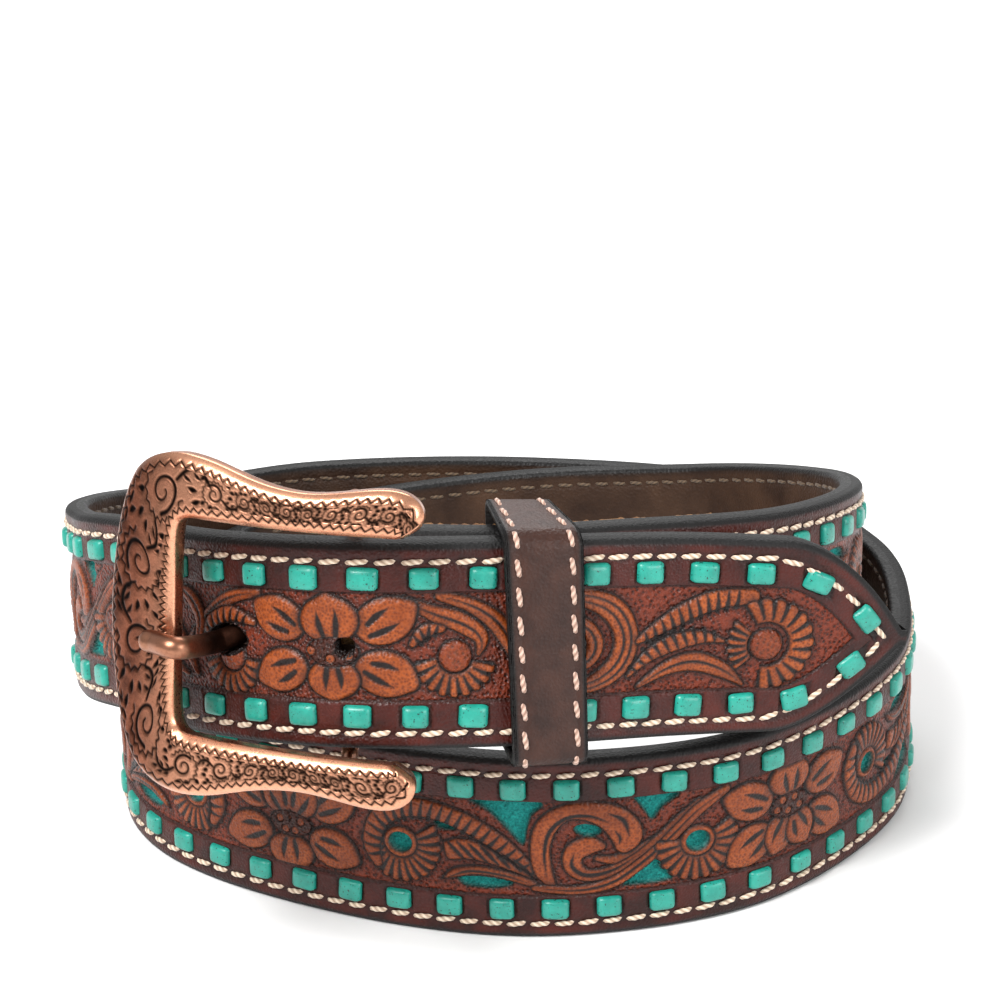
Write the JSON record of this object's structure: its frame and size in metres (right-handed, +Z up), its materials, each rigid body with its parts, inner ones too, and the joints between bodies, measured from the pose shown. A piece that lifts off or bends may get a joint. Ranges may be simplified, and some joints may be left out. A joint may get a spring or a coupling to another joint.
{
  "type": "western tooled belt",
  "caption": "leather belt coiled in two turns and buckled, with floral openwork over turquoise suede, turquoise lacing along both edges, a keeper loop and an engraved copper horseshoe buckle",
  "frame": {"origin": "middle of the foot of the coil, on the table", "axes": "+Z up, -Y front with the buckle, +X to the buckle's right"},
  "size_m": [0.1808, 0.1868, 0.1039],
  "materials": {
    "tooled": "antiqued",
    "suede": "napped",
    "lining": "smooth",
    "lace": "satin",
    "keeper": "satin",
    "chape": "rough",
    "copper": "antiqued"
  },
  "bodies": {
    "root": {"strap_cover": "tooled", "suede_inlay": "suede", "strap_lining": "lining", "lace_upper": "lace", "lace_lower": "lace", "chape_fold": "chape", "keeper": "keeper", "buckle_frame": "copper", "buckle_bar": "copper", "buckle_prong": "copper"}
  },
  "joints": []
}
